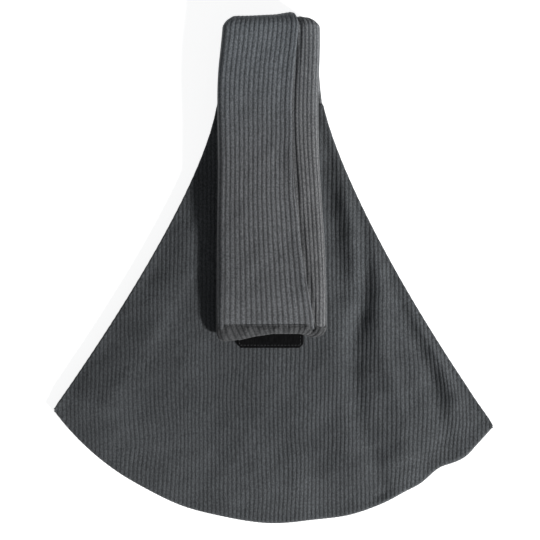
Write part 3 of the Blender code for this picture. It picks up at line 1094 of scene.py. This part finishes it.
def stitch_line(name, line, body, bends=None):
    """Running stitches along a line of points: each dips into the cloth at both its ends."""
    verts, faces = [], []
    line = np.array(line, float)
    steps = np.linalg.norm(np.diff(line, axis=0), axis=1)
    distance = np.concatenate([[0], np.cumsum(steps)])

    def place(here):
        return np.array([np.interp(here, distance, line[:, axis]) for axis in range(3)])

    at = 0.0006
    while at + STITCH_LENGTH < distance[-1]:
        base = len(verts)
        for k in range(4):
            here = at + STITCH_LENGTH * k / 3
            centre = place(here)
            direction = Vector(place(here + 0.0004) - centre).normalized()
            side = direction.cross(Vector((0, 0, 1))).normalized()
            up = side.cross(direction)
            thickness = THREAD_RADIUS * (0.75 if k in (0, 3) else 1)
            middle = Vector(centre) + up * (0.0003 * math.sin(math.pi * k / 3) - 0.0001)
            for corner in range(5):
                angle = 2 * math.pi * corner / 5
                verts.append(middle + (side * math.cos(angle) + up * math.sin(angle)) * thickness)
        add_prism(faces, base, 5, 4)
        at += STITCH_LENGTH + STITCH_GAP
    obj = add_mesh(name, [tuple(v) for v in verts], faces, THREAD)
    face_outwards(obj)
    if bends is None:
        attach(obj, body)
    else:
        bends(obj)


def add_prism(faces, base, sides, rings):
    """Faces round and at both ends of a small prism, whose points follow ring by ring."""
    for k in range(rings - 1):
        for corner in range(sides):
            a = base + k * sides + corner
            b = base + k * sides + (corner + 1) % sides
            faces.append((a, b, b + sides, a + sides))
    faces.append(tuple(base + corner for corner in range(sides - 1, -1, -1)))
    faces.append(tuple(base + sides * (rings - 1) + corner for corner in range(sides)))


def tape_grid(name, low, high, up, corner, relief, material, step, seed):
    """A tape cut square, with small rounded corners, and a finely uneven working face."""
    columns = int((high.x - low.x) / step)
    rows = int((high.y - low.y) / (step * 1.6))
    x = np.linspace(low.x, high.x, columns + 1)
    inward = np.maximum(corner - np.minimum(x - low.x, high.x - x), 0)
    t = np.linspace(0, 1, rows + 1)[:, None]
    y = low.y + inward + t * (high.y - low.y - 2 * inward)
    x = np.broadcast_to(x, y.shape)
    top = high.z if up > 0 else low.z
    pile = relief * (0.5 * ripple(x, y, 0.0022, seed, 9) + 0.5 * ripple(x, y * 0.3, 0.0016, seed + 1, 9))
    border = np.minimum(np.minimum(x - low.x, high.x - x), np.minimum(y - low.y, high.y - y))
    pressed = 0.0004 * (1 - smooth(border, 0.0002, 0.0016))
    pressed = pressed + 0.0003 * hill(border, LOOP_STITCH_INSET, 0.0007)
    z = top + up * (pile - pressed)
    obj = grid_object(name, np.stack([x, y, z], 2), np.stack([x, y], 2), material, flip=up < 0)
    thicken(obj, TAPE_THICKNESS)
    return obj


def rectangle_line(low, high, inset, z):
    """A line of points round a tape, a little inside its edge."""
    step = 0.004
    left, right = low.x + inset, high.x - inset
    lower, upper = low.y + inset, high.y - inset
    corners = ((left, lower), (right, lower), (right, upper), (left, upper), (left, lower))
    line = []
    for (x, y), (next_x, next_y) in zip(corners, corners[1:]):
        count = int(math.hypot(next_x - x, next_y - y) / step)
        for n in range(count):
            line.append((x + (next_x - x) * n / count, y + (next_y - y) * n / count, z))
    return [*line, (left, lower, z)]


def make_tapes():
    loop = tape_grid("loop_pile", LOOP_LOW, LOOP_HIGH, 1, 0.0045, 0.00022, LOOP_PILE, 0.0010, 101)
    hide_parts("loop_tape")
    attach(loop, "front_panel")
    stitched = rectangle_line(LOOP_LOW, LOOP_HIGH, LOOP_STITCH_INSET, LOOP_HIGH.z - 0.0001)
    stitch_line("loop_thread", stitched, "front_panel")
    backing = tape_grid("hook_ground", HOOK_LOW, HOOK_HIGH, -1, 0.0030, 0.00003, TAPE_CLOTH, 0.0020, 103)
    for vertex in backing.data.vertices:
        vertex.co.z += 0.0007
    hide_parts("hook_tape")
    flap_bend(backing)
    stitched = rectangle_line(HOOK_LOW, HOOK_HIGH, HOOK_STITCH_INSET, HOOK_LOW.z + 0.0006)
    stitch_line("hook_thread", stitched, "strap_front", bends=flap_bend)
    flap_bend(make_hooks())


def make_hooks():
    """Rows of small stiff hooks on the flap's underside, each row turned the other way."""
    pitch = 0.0024
    border = 0.0052
    columns = int((HOOK_HIGH.x - HOOK_LOW.x - 2 * border) / pitch)
    rows = int((HOOK_HIGH.y - HOOK_LOW.y - 2 * border) / pitch)
    rng = np.random.default_rng(7)
    shape = ((0.0, 0.0), (0.00002, 0.0006), (0.00020, 0.00105), (0.00055, 0.00108), (0.00075, 0.00078))
    verts, faces = [], []
    top = HOOK_LOW.z + 0.0009
    for row in range(rows + 1):
        turn = 1 if row % 2 else -1
        for column in range(columns + 1):
            x = HOOK_LOW.x + border + pitch * (column + 0.5 * (row % 2))
            y = HOOK_LOW.y + border + pitch * row
            lean = rng.normal(0, 0.12)
            base = len(verts)
            for k, (across, down) in enumerate(shape):
                wide = 0.00013 * (1 - 0.13 * k)
                for corner in range(3):
                    angle = 2 * math.pi * corner / 3
                    side_x, side_y = wide * math.sin(angle), wide * math.cos(angle)
                    verts.append((x + lean * down + side_x, y + turn * across + side_y, top - down))
            add_prism(faces, base, 3, len(shape))
    obj = add_mesh("hook_rows", verts, faces, NYLON, rounded=False)
    face_outwards(obj)
    return obj


# Floor, light and camera

FLOOR_Z = -0.0010  # clear of the cloth's lowest point
FLOOR_GLOW = 0.84  # keeps the shadow on the floor faint
KEY_ENERGY = 4.7
KEY_SOFTNESS = math.radians(7)
KEY_HEIGHT = math.radians(29)
KEY_SIDE = (0.78, -0.62)  # where the light comes from, in plan
FILL_STRENGTH = 0.20
CAMERA_X = -0.004
CAMERA_Y = -0.0012
HALF_VIEW = 0.307  # half the width of floor in view


def make_floor_and_light():
    bpy.ops.mesh.primitive_plane_add(size=8, location=(0, 0, FLOOR_Z))
    floor = bpy.context.active_object
    floor.name = "floor"
    material, tree, shader = new_material("floor_white")
    set_inputs(tree, shader, {"Base Color": (0.60, 0.60, 0.60), "Roughness": 0.9})
    set_inputs(tree, shader, {"Emission Color": (1, 1, 1), "Emission Strength": FLOOR_GLOW})
    floor.data.materials.append(material)
    key = bpy.data.lights.new("key", "SUN")
    key.energy = KEY_ENERGY
    key.angle = KEY_SOFTNESS
    lamp = bpy.data.objects.new("key", key)
    towards = Vector((*KEY_SIDE, 0.0)).normalized() * math.cos(KEY_HEIGHT)
    towards.z = math.sin(KEY_HEIGHT)
    lamp.rotation_euler = towards.to_track_quat("Z", "Y").to_euler()
    bpy.context.scene.collection.objects.link(lamp)
    world = bpy.context.scene.world or bpy.data.worlds.new("studio")
    bpy.context.scene.world = world
    world.use_nodes = True
    tree = world.node_tree
    fill = tree.nodes["Background"]
    set_inputs(tree, fill, {"Color": (0.95, 0.97, 1.0), "Strength": FILL_STRENGTH})
    seen = new_node(tree, "Background", {"Color": (0.90, 0.90, 0.90)})
    from_camera = new_node(tree, "LightPath", {}, "Is Camera Ray")
    shown = new_node(tree, "MixShader", {0: from_camera, 1: fill.outputs[0], 2: seen})
    set_inputs(tree, tree.nodes["World Output"], {0: shown})
    bpy.context.scene.view_settings.view_transform = "Standard"


def make_camera():
    """Straight above, with the shoulder fold at the top of the picture."""
    camera = bpy.data.cameras.new("camera")
    camera.lens = 100
    camera.sensor_width = 36
    camera.clip_start = 0.05
    obj = bpy.data.objects.new("camera", camera)
    distance = HALF_VIEW / (camera.sensor_width / 2 / camera.lens)
    obj.location = (CAMERA_X, CAMERA_Y, distance)
    bpy.context.scene.collection.objects.link(obj)
    bpy.context.scene.camera = obj


make_front()
make_back()
make_strap()
make_foam()
make_end_binding()
make_seam_binding()
make_tapes()
make_floor_and_light()
make_camera()
